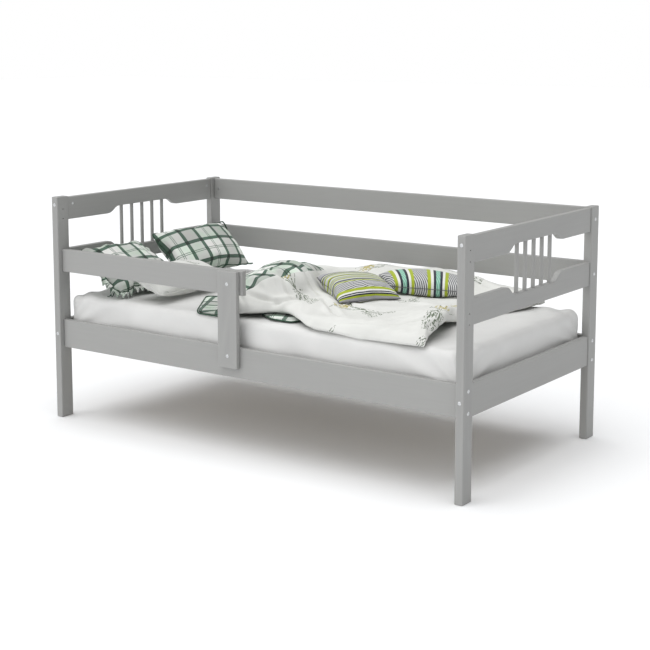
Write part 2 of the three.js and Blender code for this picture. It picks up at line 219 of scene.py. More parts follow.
def pine_material(name, along):
    material, shader, tree = new_material(name)
    place = node(tree, "TexCoord").outputs["Object"]
    stretch = [14.0, 14.0, 14.0]
    stretch["xyz".index(along)] = 0.7
    rings = noise(tree, mapped(tree, place, tuple(stretch)), 3.0, 5.0, 0.6)
    fine = noise(tree, mapped(tree, place, tuple(6 * s for s in stretch)), 9.0, 2.0)
    tone = ramp(
        tree,
        rings,
        [(0.30, (0.64, 0.58, 0.49)), (0.47, (0.61, 0.54, 0.45)), (0.53, (0.53, 0.45, 0.36)), (0.6, (0.63, 0.57, 0.48))],
    )
    tone = mix_colors(tree, 0.2, tone, ramp(tree, fine, [(0.3, (0.54, 0.48, 0.39)), (0.7, (0.70, 0.65, 0.57))]))
    tree.links.new(tone, shader.inputs["Base Color"])
    shader.inputs["Roughness"].default_value = 0.62
    tree.links.new(bump(tree, rings, 0.15, 0.0008), shader.inputs["Normal"])
    return material


def steel_material():
    material, shader, tree = new_material("zinc_steel")
    place = node(tree, "TexCoord").outputs["Object"]
    speckle = noise(tree, place, 900.0, 3.0)
    tone = ramp(tree, speckle, [(0.3, (0.55, 0.56, 0.57)), (0.7, (0.74, 0.75, 0.76))])
    tree.links.new(tone, shader.inputs["Base Color"])
    tree.links.new(ramp(tree, speckle, [(0.3, (0.22,) * 3), (0.7, (0.36,) * 3)]), shader.inputs["Roughness"])
    shader.inputs["Metallic"].default_value = 1.0
    return material


def dress_frame():
    """Gives every carried-over CAD node its finish."""
    paints = {axis: paint_material("paint_" + axis, axis) for axis in "xyz"}
    pines = {axis: pine_material("pine_" + axis, axis) for axis in "xy"}
    steel = steel_material()
    for name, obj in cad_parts.items():
        low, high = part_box(name)
        size = high - low
        longest = "xyz"[max(range(3), key=lambda i: size[i])]
        if name.startswith("bolt_"):
            material = steel
        elif name.startswith("slat_") or name.endswith("_ledger"):
            material = pines[longest]
        else:
            material = paints[longest]
        obj.data.materials.clear()
        obj.data.materials.append(material)
    return steel


# ---------------------------------------------------------------- mesh helpers


def new_object(name, vertices, faces, materials=(), smooth=True):
    mesh = bpy.data.meshes.new(name)
    mesh.from_pydata([tuple(map(float, v)) for v in vertices], [], [tuple(map(int, f)) for f in faces])
    mesh.update()
    if smooth:
        mesh.polygons.foreach_set("use_smooth", [True] * len(mesh.polygons))
    for material in materials:
        mesh.materials.append(material)
    obj = bpy.data.objects.new(name, mesh)
    bpy.context.scene.collection.objects.link(obj)
    return obj


def coordinates(obj):
    points = np.zeros(len(obj.data.vertices) * 3)
    obj.data.vertices.foreach_get("co", points)
    return points.reshape(-1, 3)


def set_coordinates(obj, points):
    obj.data.vertices.foreach_set("co", np.asarray(points, float).ravel())
    obj.data.update()


def two_sheets(upper, lower):
    """Faces of two grids of vertices, the upper one facing up and the lower one down."""
    faces = []
    for grid, up in ((upper, True), (lower, False)):
        a, b = grid[:-1, :-1].ravel(), grid[:-1, 1:].ravel()
        c, d = grid[1:, 1:].ravel(), grid[1:, :-1].ravel()
        faces.extend(zip(a, b, c, d) if up else zip(a, d, c, b))
    return faces


def shared_rim(rows, columns):
    """A grid of vertex numbers, a second grid that shares its rim and has its own inside, and where that is."""
    index = np.arange(rows * columns).reshape(rows, columns)
    inner = np.zeros_like(index, bool)
    inner[1:-1, 1:-1] = True
    lower = index.copy()
    lower[inner] = index.size + np.arange(inner.sum())
    return index, lower, inner


def set_cloth_uvs(obj, uv_of):
    """Gives each vertex its place on the cloth, in metres."""
    layer = obj.data.uv_layers.new(name="cloth")
    loops = np.zeros(len(obj.data.loops), int)
    obj.data.loops.foreach_get("vertex_index", loops)
    layer.data.foreach_set("uv", np.asarray(uv_of)[loops].ravel())


def lathe(profile, segments=24):
    """Vertices and faces of a profile of (radius, height) turned about Z, closed on the axis at both ends."""
    vertices, faces, rings = [], [], []
    for radius, height in profile:
        if radius == 0:
            rings.append([len(vertices)])
            vertices.append((0.0, 0.0, height))
        else:
            start = len(vertices)
            for i in range(segments):
                angle = TAU * i / segments
                vertices.append((radius * math.cos(angle), radius * math.sin(angle), height))
            rings.append(list(range(start, start + segments)))
    for lower, upper in zip(rings, rings[1:]):
        for i in range(segments):
            a, b = lower[i % len(lower)], lower[(i + 1) % len(lower)]
            c, d = upper[(i + 1) % len(upper)], upper[i % len(upper)]
            faces.append([v for k, v in enumerate((a, b, c, d)) if v not in (a, b, c, d)[:k]])
    return np.array(vertices), faces


def scatter(name, shape, places, material, body="frame"):
    """One object made of copies of a small shape, each placed with its own +Z along out."""
    vertices, faces = [], []
    for place, out in places:
        turn = np.array(Vector(out).to_track_quat("Z", "Y").to_matrix())
        start = len(vertices)
        vertices.extend(shape[0] @ turn.T + np.array(place))
        faces.extend([v + start for v in face] for face in shape[1])
    obj = new_object(name, vertices, faces, [material], smooth=False)
    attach(obj, body)
    return obj


# ---------------------------------------------------------------- fasteners made here


def bolt_head_shape():
    """A low round head with a hexagonal socket, its rim at 0.6 mm above the timber."""
    profile = [(0.0, -0.0030), (0.0058, -0.0030), (0.0060, -0.0026), (0.0060, -0.0002), (0.0052, 0.0006)]
    vertices, faces = lathe([*profile, (0.0027, 0.0006)], 24)
    start = len(vertices)
    rim = list(range(start - 24, start))
    hexagon = [(0.0025 * math.cos(TAU * i / 6), 0.0025 * math.sin(TAU * i / 6), 0.0006) for i in range(6)]
    deep = [(x, y, -0.0012) for x, y, _ in hexagon]
    vertices = np.vstack([vertices, hexagon, deep])
    for i in range(6):
        a, b = start + i, start + (i + 1) % 6
        outer = [rim[(4 * i + k) % 24] for k in range(5)]
        faces.append([*outer, b, a])
        faces.append([a, b, b + 6, a + 6])
    faces.append([start + 6 + i for i in range(6)])
    return vertices, faces


def nut_shape():
    """The slotted end of a cross dowel nut, sunk in the timber's face."""
    vertices, faces = lathe([(0.0, -0.004), (0.0048, -0.004), (0.005, 0.0001), (0.0044, 0.0005), (0.0, 0.0005)], 20)
    slot = np.array([(x, y, z) for z in (0.0005, 0.0009) for y in (-0.0005, 0.0005) for x in (-0.0035, 0.0035)])
    start = len(vertices)
    box_faces = [(0, 2, 3, 1), (4, 5, 7, 6), (0, 1, 5, 4), (2, 6, 7, 3), (0, 4, 6, 2), (1, 3, 7, 5)]
    return np.vstack([vertices, slot]), faces + [[v + start for v in face] for face in box_faces]


def screw_shape():
    """A slat screw's low head, dished in the middle."""
    profile = [(0.0, -0.002), (0.0035, -0.001), (0.0038, 0.0002), (0.002, 0.0009), (0.0009, 0.0004)]
    return lathe([*profile, (0.0, 0.0003)], 14)


SIDE_BOLT_Z = (0.333, 0.268)  # heights of the fasteners above the floor
END_NUT_Z = (("upper", 0.756), ("bed", 0.301))
REAR_NUT_Z = (("upper", 0.741), ("middle", 0.558))
GUARD_BOLT_Z = 0.5605
STILE_NUT_Z = ((0.557, "guard_rail"), (0.324, "front_bed_rail"))
NUT_REACH = 0.024  # from a rail's end to its nut
SCREW_INSET = (0.022, 0.014)  # from a slat's edges


def add_fasteners(steel):
    bolts, nuts, screws = [], [], []
    for end in ("head", "foot"):
        sign = -1 if end == "head" else 1
        for side in ("front", "rear"):
            low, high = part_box(f"post_{end}_{side}")
            rear = 1 if side == "rear" else -1
            middle_y = (low.y + high.y) / 2
            outer_x = high.x if sign > 0 else low.x
            inner_x = low.x if sign > 0 else high.x
            inner_y = high.y if rear < 0 else low.y
            rail_low, rail_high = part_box(f"{side}_bed_rail")
            face_y = rail_high.y if rear < 0 else rail_low.y
            for z in SIDE_BOLT_Z:
                bolts.append(((outer_x, middle_y, z), (sign, 0, 0)))
                nuts.append(((inner_x - sign * NUT_REACH, face_y, z), (0, -rear, 0)))
            for level, z in END_NUT_Z:
                rail_low, rail_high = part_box(f"{end}_{level}_rail")
                face_x = rail_low.x if sign > 0 else rail_high.x
                nuts.append(((face_x, inner_y - rear * NUT_REACH, z), (-sign, 0, 0)))
        low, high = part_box(f"post_{end}_rear")
        inner_x = low.x if sign > 0 else high.x
        for level, z in REAR_NUT_Z:
            face_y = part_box(f"rear_{level}_rail")[0].y
            nuts.append(((inner_x - sign * NUT_REACH, face_y, z), (0, -1, 0)))
    low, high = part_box("post_head_front")
    guard_low, guard_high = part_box("guard_rail")
    bolts.append(((low.x, (low.y + high.y) / 2, GUARD_BOLT_Z), (-1, 0, 0)))
    nuts.append(((high.x + NUT_REACH, guard_high.y, GUARD_BOLT_Z), (0, 1, 0)))
    stile_low, stile_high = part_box("guard_stile")
    stile_x = (stile_low.x + stile_high.x) / 2
    for z, rail in STILE_NUT_Z:
        nuts.append(((stile_x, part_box(rail)[1].y, z), (0, 1, 0)))
    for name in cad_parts:
        if name.startswith("slat_"):
            low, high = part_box(name)
            for y in (low.y + SCREW_INSET[1], high.y - SCREW_INSET[1]):
                for x in (low.x + SCREW_INSET[0], high.x - SCREW_INSET[0]):
                    screws.append(((x, y, high.z), (0, 0, 1)))
    for name, shape, places in (
        ("bed_rail_bolts", bolt_head_shape(), bolts),
        ("cross_dowel_nuts", nut_shape(), nuts),
        ("slat_screws", screw_shape(), screws),
    ):
        scatter(name, shape, places, steel)


# ---------------------------------------------------------------- cloth


def inflate(obj, pressure, frames, cap, grow=0.0, quality=6, bending=0.6, stiffness=18.0):
    """Runs a short cloth simulation with air inside and keeps its result, each point moved at most cap."""
    start = coordinates(obj)
    modifier = obj.modifiers.new("Cloth", "CLOTH")
    settings = modifier.settings
    settings.quality = quality
    settings.mass = 0.3
    settings.tension_stiffness = stiffness
    settings.compression_stiffness = stiffness
    settings.shear_stiffness = stiffness / 3
    settings.bending_stiffness = bending
    settings.use_pressure = True
    settings.uniform_pressure_force = pressure
    settings.shrink_min = -grow
    settings.effector_weights.gravity = 0.0
    modifier.point_cache.frame_start = 1
    modifier.point_cache.frame_end = frames
    scene = bpy.context.scene
    for f in range(1, frames + 1):
        scene.frame_set(f)
    evaluated = obj.evaluated_get(bpy.context.evaluated_depsgraph_get())
    puffed = np.array([v.co for v in evaluated.data.vertices])
    obj.modifiers.remove(modifier)
    scene.frame_set(1)
    move = puffed - start
    length = np.linalg.norm(move, axis=1, keepdims=True)
    move *= np.minimum(1.0, cap / np.maximum(length, 1e-9))
    set_coordinates(obj, start + move)


def cushion_mesh(name, width, depth, thickness, columns, rows, pinch, power=0.5):
    """A closed cushion in its own frame: two sheets that share a rim, whose sides pull in between the corners.
    Its UVs are metres along the cloth, the same way up on both sides."""
    u, v = np.meshgrid(np.linspace(-1, 1, columns + 1), np.linspace(-1, 1, rows + 1))
    x = u * width / 2 * (1 - pinch * (1 - v**2) * np.abs(u) ** 3)
    y = v * depth / 2 * (1 - pinch * (1 - u**2) * np.abs(v) ** 3)
    x, y = x * (1 - 0.06 * np.abs(u * v) ** 5), y * (1 - 0.06 * np.abs(u * v) ** 5)
    z = thickness / 2 * np.clip((1 - u**2) * (1 - v**2), 0, 1) ** power
    index, lower, inner = shared_rim(rows + 1, columns + 1)
    top = np.stack([x, y, z], -1).reshape(-1, 3)
    bottom = np.stack([x, y, -z], -1)[inner]
    obj = new_object(name, np.vstack([top, bottom]), two_sheets(index, lower))
    uv = np.stack([u * width / 2, v * depth / 2], -1)
    set_cloth_uvs(obj, np.vstack([uv.reshape(-1, 2), uv[inner]]))
    rim = np.concatenate([index[0, :], index[1:, -1], index[-1, -2::-1], index[-2:0:-1, 0]])
    return obj, rim


# ---------------------------------------------------------------- fabrics


def cloth_coordinates(tree):
    return node(tree, "TexCoord").outputs["UV"]


def weave_normal(tree, place, strength=0.25):
    """Fine threads at right angles, with a little slub."""
    warp = node(tree, "TexWave", wave_type="BANDS", bands_direction="X")
    weft = node(tree, "TexWave", wave_type="BANDS", bands_direction="Y")
    for wave in (warp, weft):
        wave.inputs["Scale"].default_value = 420.0
        wave.inputs["Distortion"].default_value = 0.6
        tree.links.new(place, wave.inputs["Vector"])
    threads = math_node(tree, "ADD", warp.outputs["Fac"], weft.outputs["Fac"])
    slub = noise(tree, place, 60.0, 3.0)
    both = math_node(tree, "ADD", math_node(tree, "MULTIPLY", threads, 0.5), slub)
    return bump(tree, both, strength, 0.0005)


def finish_cloth(tree, shader, tone, place, roughness=0.85, sheen=0.15, weave=0.25):
    tree.links.new(tone, shader.inputs["Base Color"])
    shader.inputs["Roughness"].default_value = roughness
    shader.inputs["Sheen Weight"].default_value = sheen
    shader.inputs["Sheen Roughness"].default_value = 0.4
    shader.inputs["Specular IOR Level"].default_value = 0.25
    tree.links.new(weave_normal(tree, place, weave), shader.inputs["Normal"])


def check_profile(tree, coordinate, period, shift):
    """What one set of threads does to the ground colour across one repeat of the check: two broad bands with a
    greyer strip between them, then a wide pale strip with a fine double line down its middle."""
    turned = math_node(tree, "ADD", math_node(tree, "DIVIDE", coordinate, period), shift + 20)
    phase = math_node(tree, "FRACT", turned)
    pale, wash = (1.0, 1.0, 1.0), (0.76, 0.77, 0.76)
    band, edge, fine = (0.095, 0.175, 0.130), (0.045, 0.10, 0.07), (0.14, 0.24, 0.18)
    stops = [
        (0.0, edge), (0.012, band), (0.080, edge), (0.092, wash), (0.42, edge), (0.432, band), (0.500, edge),
        (0.512, pale), (0.725, fine), (0.740, pale), (0.772, fine), (0.787, pale),
    ]
    return ramp(tree, phase, stops, "CONSTANT")


def plaid_tone(tree, place, period, shift):
    u, v, _ = split(tree, place)
    across = check_profile(tree, u, period, shift[0])
    along_cloth = check_profile(tree, v, period, shift[1])
    check = mix_colors(tree, 1.0, across, along_cloth, "MULTIPLY")
    patch = noise(tree, place, 14.0, 1.0)
    ground = ramp(tree, patch, [(0.35, (0.66, 0.77, 0.66)), (0.5, (0.73, 0.76, 0.72)), (0.65, (0.76, 0.75, 0.73))])
    tone = mix_colors(tree, 1.0, check, ground, "MULTIPLY")
    return mix_colors(tree, 0.04, tone, (0.8, 0.8, 0.8))


def plaid_material(name, period, shift=(0.0, 0.0)):
    material, shader, tree = new_material(name)
    place = cloth_coordinates(tree)
    finish_cloth(tree, shader, plaid_tone(tree, place, period, shift), place)
    return material


def binding_material():
    material, shader, tree = new_material("green_binding")
    place = node(tree, "TexCoord").outputs["Object"]
    tone = ramp(tree, noise(tree, place, 260.0, 3.0), [(0.3, (0.02, 0.05, 0.03)), (0.7, (0.06, 0.12, 0.08))])
    finish_cloth(tree, shader, tone, place, sheen=0.1)
    return material


def sheet_material():
    """White sateen: even, slightly glossy, with a soft unevenness of tone."""
    material, shader, tree = new_material("fitted_sheet")
    place = node(tree, "TexCoord").outputs["Object"]
    tone = ramp(tree, noise(tree, place, 9.0, 3.0), [(0.3, (0.665, 0.665, 0.655)), (0.7, (0.715, 0.715, 0.705))])
    finish_cloth(tree, shader, tone, place, roughness=0.5, sheen=0.1, weave=0.12)
    return material


def stripe_colors():
    return {
        "lime": (0.36, 0.43, 0.04), "white": (0.72, 0.73, 0.70), "grey": (0.40, 0.40, 0.42),
        "pale": (0.56, 0.57, 0.57), "dark": (0.035, 0.037, 0.05), "mint": (0.20, 0.56, 0.40), "pin": (0.4, 0.4, 0.4),
    }


def slanted_lines(tree, place, pitch, angle, wobble=0.0):
    """1 on fine dark lines that run across the cloth at an angle, 0 between them."""
    turned = mapped(tree, place, rotation=(0, 0, math.radians(angle)))
    maths = partial(math_node, tree)
    drift = maths("MULTIPLY", noise(tree, place, 18.0, 1.0), wobble)
    phase = maths("ADD", maths("DIVIDE", split(tree, turned)[0], pitch), drift)
    return maths("LESS_THAN", maths("FRACT", maths("ADD", phase, 40.0)), 0.46)


def stripes_material(name, axis, period, bands, pinstripe_angle, wobble=0.0, start=10.5):
    """Bands of plain colours along one axis of the cloth. The "pin" bands carry a fine slanted dark stripe on
    pale cotton, and the mint ones a fainter one."""
    colors = stripe_colors()
    material, shader, tree = new_material(name)
    place = cloth_coordinates(tree)
    repeats = math_node(tree, "DIVIDE", split(tree, place)[axis], period)
    phase = math_node(tree, "FRACT", math_node(tree, "ADD", repeats, start))
    total = sum(width for _, width in bands)
    stops, pins, position = [], [], 0.0
    for color, width in bands:
        stops.append((position / total, colors[color]))
        weight = {"pin": 1.0, "mint": 0.35}.get(color, 0.0)
        pins.append((position / total, (weight,) * 3))
        position += width
    plain = ramp(tree, phase, stops, "CONSTANT")
    lines = slanted_lines(tree, place, 0.0078, pinstripe_angle, wobble)
    pinstripe = mix_colors(tree, lines, (0.62, 0.63, 0.62), (0.09, 0.09, 0.11))
    tone = mix_colors(tree, ramp(tree, phase, pins, "CONSTANT"), plain, pinstripe)
    finish_cloth(tree, shader, tone, place)
    return material


def stem_distance(maths, x, y, bend, slant):
    """How far a point lies from the curved stem y = bend x^2 + slant x."""
    curve = maths("ADD", maths("MULTIPLY", maths("MULTIPLY", x, x), bend), maths("MULTIPLY", x, slant))
    return maths("ABSOLUTE", maths("SUBTRACT", y, curve))


def cell_spots(tree, place, stretch, scale, size):
    """1 on small round spots, drawn out along one axis, 0 between them."""
    sockets = {"Scale": scale, "Vector": mapped(tree, place, (1.0, stretch, 1.0))}
    return math_node(tree, "LESS_THAN", fed(tree, "TexVoronoi", sockets, "Distance", feature="F1"), size)


SPRAY_STEMS = ((0.5, 0.05), (0.1, 0.28), (-0.35, -0.12), (0.3, -0.34), (-0.2, 0.12))  # bend and slant


def floral_tone(tree, place, period):
    """White cotton printed with scattered sprays: thin dark stems, dotted leaves and small ochre flowers."""
    maths, vector = partial(math_node, tree), partial(fed, tree, "VectorMath")
    scaled = mapped(tree, place, (1 / period, 1 / period, 1.0))
    drift = fed(tree, "TexNoise", {"Scale": 1.7, "Vector": scaled}, "Color")
    wandering = vector({0: drift, 1: (0.5, 0.5, 0.0), 2: scaled}, operation="MULTIPLY_ADD")
    cell = vector({0: wandering}, operation="FLOOR")
    local = vector({0: wandering}, operation="FRACTION")
    chance = fed(tree, "TexWhiteNoise", {"Vector": cell}, "Value", noise_dimensions="2D")
    centred = vector({0: local, 1: (0.5, 0.5, 0.0)}, operation="SUBTRACT")
    turn = maths("MULTIPLY", maths("SUBTRACT", chance, 0.5), 2.4)
    spun = fed(tree, "VectorRotate", {"Vector": centred, "Angle": turn}, rotation_type="Z_AXIS")
    x, y, _ = split(tree, spun)
    inside = maths("LESS_THAN", maths("ABSOLUTE", x), 0.40)
    stems, leaves = None, None
    for bend, slant in SPRAY_STEMS:
        off = stem_distance(maths, x, y, bend, slant)
        line, near = maths("LESS_THAN", off, 0.0042), maths("LESS_THAN", off, 0.05)
        stems = line if stems is None else maths("MAXIMUM", stems, line)
        leaves = near if leaves is None else maths("MAXIMUM", leaves, near)
    beyond = maths("GREATER_THAN", x, -0.05)
    speck = maths("MULTIPLY", cell_spots(tree, spun, 1.8, 38.0, 0.36), leaves)
    speck = maths("MULTIPLY", speck, maths("MULTIPLY", inside, beyond))
    broken = maths("GREATER_THAN", noise(tree, scaled, 30.0, 1.0), 0.42)
    ink = maths("MAXIMUM", maths("MULTIPLY", maths("MULTIPLY", stems, inside), broken), speck)
    away_x = maths("ADD", x, 0.3)
    spread = maths("ADD", maths("MULTIPLY", away_x, away_x), maths("MULTIPLY", y, y))
    petal = cell_spots(tree, spun, 1.7, 30.0, 0.50)
    flower = maths("MULTIPLY", petal, maths("LESS_THAN", spread, 0.0068))
    ground = ramp(tree, noise(tree, place, 9.0, 3.0), [(0.3, (0.655, 0.66, 0.635)), (0.7, (0.71, 0.715, 0.69))])
    inks = mix_colors(tree, noise(tree, scaled, 5.0, 1.0), (0.05, 0.06, 0.05), (0.14, 0.20, 0.11))
    tone = mix_colors(tree, maths("MULTIPLY", ink, 0.9), ground, inks)
    return mix_colors(tree, maths("MULTIPLY", flower, 0.85), tone, (0.42, 0.35, 0.06))


def floral_material(name, period):
    material, shader, tree = new_material(name)
    place = cloth_coordinates(tree)
    finish_cloth(tree, shader, floral_tone(tree, place, period), place, roughness=0.75)
    return material


def duvet_material(period, check_period, check_shift):
    """The duvet cover's two sides: the printed one, and the checked one wherever check_side is above zero."""
    material, shader, tree = new_material("duvet_cotton")
    place = cloth_coordinates(tree)
    side = node(tree, "Attribute", attribute_name="check_side")
    turned = math_node(tree, "GREATER_THAN", side.outputs["Fac"], 0.0)
    check = plaid_tone(tree, place, check_period, check_shift)
    tone = mix_colors(tree, turned, floral_tone(tree, place, period), check)
    finish_cloth(tree, shader, tone, place, roughness=0.75)
    return material


def seam_material():
    """Dark thread along a cushion's closed seam."""
    material, shader, tree = new_material("seam_thread")
    place = node(tree, "TexCoord").outputs["Object"]
    tone = ramp(tree, noise(tree, place, 300.0, 2.0), [(0.3, (0.06, 0.06, 0.07)), (0.7, (0.16, 0.16, 0.17))])
    finish_cloth(tree, shader, tone, place, sheen=0.1)
    return material


# ---------------------------------------------------------------- shaping helpers


def ripple(points, wavelength, waves=7):
    """A smooth uneven surface between about -1 and 1: a sum of seeded plane waves."""
    total = np.zeros(len(points))
    for _ in range(waves):
        direction = RANDOM.normal(size=3)
        direction *= RANDOM.uniform(0.7, 1.5) * TAU / wavelength / np.linalg.norm(direction)
        total += np.sin(points @ direction + RANDOM.uniform(0, TAU))
    return total / math.sqrt(waves)


def smoothstep(low, high, value):
    t = np.clip((value - low) / (high - low), 0, 1)
    return t * t * (3 - 2 * t)


def hill(distance, width):
    return np.exp(-((distance / width) ** 2))


def crease(points, start, end, width, depth):
    """Heights of a groove between two plan points, with a low ridge along its sides."""
    a, b = np.array(start), np.array(end)
    along = b - a
    t = np.clip((points[:, :2] - a) @ along / (along @ along), 0, 1)
    off = np.linalg.norm(points[:, :2] - a - t[:, None] * along, axis=1) / width
    fade = np.sin(math.pi * np.clip(t, 0.04, 0.96)) ** 0.6
    return depth * fade * (-hill(off, 0.5) + 0.55 * hill(off - 1.2, 0.6))


def normals(obj):
    values = np.zeros(len(obj.data.vertices) * 3)
    obj.data.vertices.foreach_get("normal", values)
    return values.reshape(-1, 3)


def push_out(obj, amounts):
    set_coordinates(obj, coordinates(obj) + normals(obj) * np.asarray(amounts)[:, None])


def place_soft(obj, centre, turn, lean, tip):
    """Tips a piece made flat at the origin to raise its +X side, leans it to raise its +Y side, turns it about Z
    and moves it, in degrees."""
    leaned = Matrix.Rotation(math.radians(lean), 4, "X") @ Matrix.Rotation(math.radians(-tip), 4, "Y")
    obj.data.transform(Matrix.Translation(centre) @ Matrix.Rotation(math.radians(turn), 4, "Z") @ leaned)
    obj.data.update()


def rest_on(obj, floor_z, gap=0.002):
    """Presses the piece flat where it would sink below a level or below a surface height function."""
    points = coordinates(obj)
    floor = floor_z(points) if callable(floor_z) else np.full(len(points), floor_z)
    depth = floor + gap - points[:, 2]
    points[:, 2] += np.maximum(depth, 0)
    set_coordinates(obj, points)


def subdivide(obj, levels=1):
    modifier = obj.modifiers.new("Subdivision", "SUBSURF")
    modifier.levels = levels
    modifier.render_levels = levels


def tube(name, path, radius, material, sides=8, closed=False):
    """A round cord along a line of points, its ends closed."""
    path = np.asarray(path, float)
    count = len(path)
    vertices, faces = [], []
    for i in range(count):
        before = path[(i - 1) % count] if closed or i > 0 else path[0]
        after = path[(i + 1) % count] if closed or i < count - 1 else path[-1]
        along = (after - before) / np.linalg.norm(after - before)
        side = np.cross(along, (0.13, 0.21, 1.0))
        side /= np.linalg.norm(side)
        up = np.cross(side, along)
        for k in range(sides):
            angle = TAU * k / sides
            vertices.append(path[i] + radius * (math.cos(angle) * side + math.sin(angle) * up))
    for i in range(count if closed else count - 1):
        j = (i + 1) % count
        for k in range(sides):
            m = (k + 1) % sides
            faces.append((i * sides + k, i * sides + m, j * sides + m, j * sides + k))
    if not closed:
        faces.append(tuple(range(sides)))
        faces.append(tuple((count - 1) * sides + k for k in reversed(range(sides))))
    return new_object(name, vertices, faces, [material])


def centre_of(name):
    low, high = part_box(name)
    return (low + high) / 2


# ---------------------------------------------------------------- mattress


def rounded_block(name, size, radius, counts):
    """A closed block with round edges, its faces finer near the edges."""
    half = np.array(size) / 2
    axis_values = []
    for h, count in zip(half, counts):
        t = np.linspace(-1, 1, count + 1)
        axis_values.append(h * np.sin(t * math.pi / 2 * 0.86) / math.sin(math.pi / 2 * 0.86))
    vertices, faces, known = [], [], {}

    def vertex(i, j, k):
        if (i, j, k) not in known:
            known[i, j, k] = len(vertices)
            vertices.append((axis_values[0][i], axis_values[1][j], axis_values[2][k]))
        return known[i, j, k]

    nx, ny, nz = counts
    for i in range(nx):
        for j in range(ny):
            faces.append([vertex(i, j, 0), vertex(i, j + 1, 0), vertex(i + 1, j + 1, 0), vertex(i + 1, j, 0)])
            faces.append([vertex(i, j, nz), vertex(i + 1, j, nz), vertex(i + 1, j + 1, nz), vertex(i, j + 1, nz)])
    for i in range(nx):
        for k in range(nz):
            faces.append([vertex(i, 0, k), vertex(i + 1, 0, k), vertex(i + 1, 0, k + 1), vertex(i, 0, k + 1)])
            faces.append([vertex(i, ny, k), vertex(i, ny, k + 1), vertex(i + 1, ny, k + 1), vertex(i + 1, ny, k)])
    for j in range(ny):
        for k in range(nz):
            faces.append([vertex(0, j, k), vertex(0, j, k + 1), vertex(0, j + 1, k + 1), vertex(0, j + 1, k)])
            faces.append([vertex(nx, j, k), vertex(nx, j + 1, k), vertex(nx, j + 1, k + 1), vertex(nx, j, k + 1)])
    points = np.array(vertices)
    core = np.clip(points, -(half - radius), half - radius)
    off = points - core
    length = np.linalg.norm(off, axis=1, keepdims=True)
    points = core + off * radius / np.maximum(length, 1e-9)
    return new_object(name, points, faces)


SHEET_REACH = 0.075  # how far the fitted sheet reaches under the mattress


def add_mattress(sheet, ticking):
    low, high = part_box("mattress")
    size, centre = high - low, (low + high) / 2
    mattress = rounded_block("fitted_sheet_mattress", size - Vector((0.002,) * 3), 0.027, (110, 60, 14))
    points = coordinates(mattress)
    half = np.array(size) / 2
    side = smoothstep(0.7, 1.0, np.max(np.abs(points[:, :2]) / half[:2], axis=1))
    soft = ripple(points, 0.30) * 0.0009 * (1 - side)
    drag = np.zeros(len(points))
    for corner_x in (-1, 1):
        for corner_y in (-1, 1):
            corner = np.array([corner_x * half[0], corner_y * half[1], -half[2] * 0.2])
            away = points - corner
            reach = np.linalg.norm(away, axis=1)
            fan = np.arctan2(away[:, 2] + 0.05, np.hypot(away[:, 0], away[:, 1]) + 0.02)
            drag += np.sin(fan * 17 + 1.3 * corner_x) * hill(reach - 0.12, 0.16) * 0.0034
    waves = np.sin(points[:, 0] * 23 + 3.0 * points[:, 2] / half[2] + 2 * np.sin(points[:, 0] * 5)) * 0.0019 * side
    push_out(mattress, soft + drag * side + waves - 0.001)
    mattress.data.transform(Matrix.Translation(centre))
    mattress.data.materials.append(sheet)
    mattress.data.materials.append(ticking)
    for face in mattress.data.polygons:
        spot = face.center - centre
        inside = abs(spot.x) < half[0] - SHEET_REACH and abs(spot.y) < half[1] - SHEET_REACH
        face.material_index = int(inside and face.normal.z < -0.5)
    subdivide(mattress)
    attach(mattress, "mattress")
    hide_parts("mattress")
    hem_x, hem_y, bottom = half[0] - SHEET_REACH, half[1] - SHEET_REACH, low.z - 0.0005
    path = []
    for start, end in (((-1, -1), (1, -1)), ((1, -1), (1, 1)), ((1, 1), (-1, 1)), ((-1, 1), (-1, -1))):
        for t in np.linspace(0, 1, 40, endpoint=False):
            x = centre.x + hem_x * (start[0] + (end[0] - start[0]) * t)
            y = centre.y + hem_y * (start[1] + (end[1] - start[1]) * t)
            path.append((x, y, bottom + 0.0035))
    hem = tube("fitted_sheet_elastic", path, 0.003, sheet, closed=True)
    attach(hem, "mattress")


# ---------------------------------------------------------------- pillows and cushions


MATTRESS_TOP = 0.4385
MATTRESS_EDGE = 0.027
FRILL_LIMIT = -0.396  # just inside the guard rail


def mattress_surface(points):
    """Height of the mattress under each point, with its rounded long edges."""
    half_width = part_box("mattress")[1].y
    over = np.clip(np.abs(points[:, 1]) - (half_width - MATTRESS_EDGE), 0, MATTRESS_EDGE)
    return MATTRESS_TOP - MATTRESS_EDGE + np.sqrt(MATTRESS_EDGE**2 - over**2)


def corner_ties(name, root, reach, count, length, material, body):
    """Thin ties from one corner of a piece, hanging outwards and down onto the mattress."""
    root, reach = np.array(root), np.array(reach)
    for number in range(count):
        t = np.linspace(0, 1, 14)
        turn = math.radians(RANDOM.uniform(-32, 32))
        direction = np.array([
            reach[0] * math.cos(turn) - reach[1] * math.sin(turn),
            reach[0] * math.sin(turn) + reach[1] * math.cos(turn),
        ])
        wander = 0.005 * np.sin(6 * t + 2 * number)
        x = root[0] + direction[0] * t * length + wander
        y = root[1] + direction[1] * t * length - wander
        z = root[2] + 0.25 * length * np.sin(math.pi * t) - 0.75 * length * t**2
        path = np.stack([x, y, np.maximum(z, MATTRESS_TOP + 0.003)], -1)
        tie = tube(f"{name}_tie_{number + 1}", path, 0.0016, material)
        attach(tie, body)


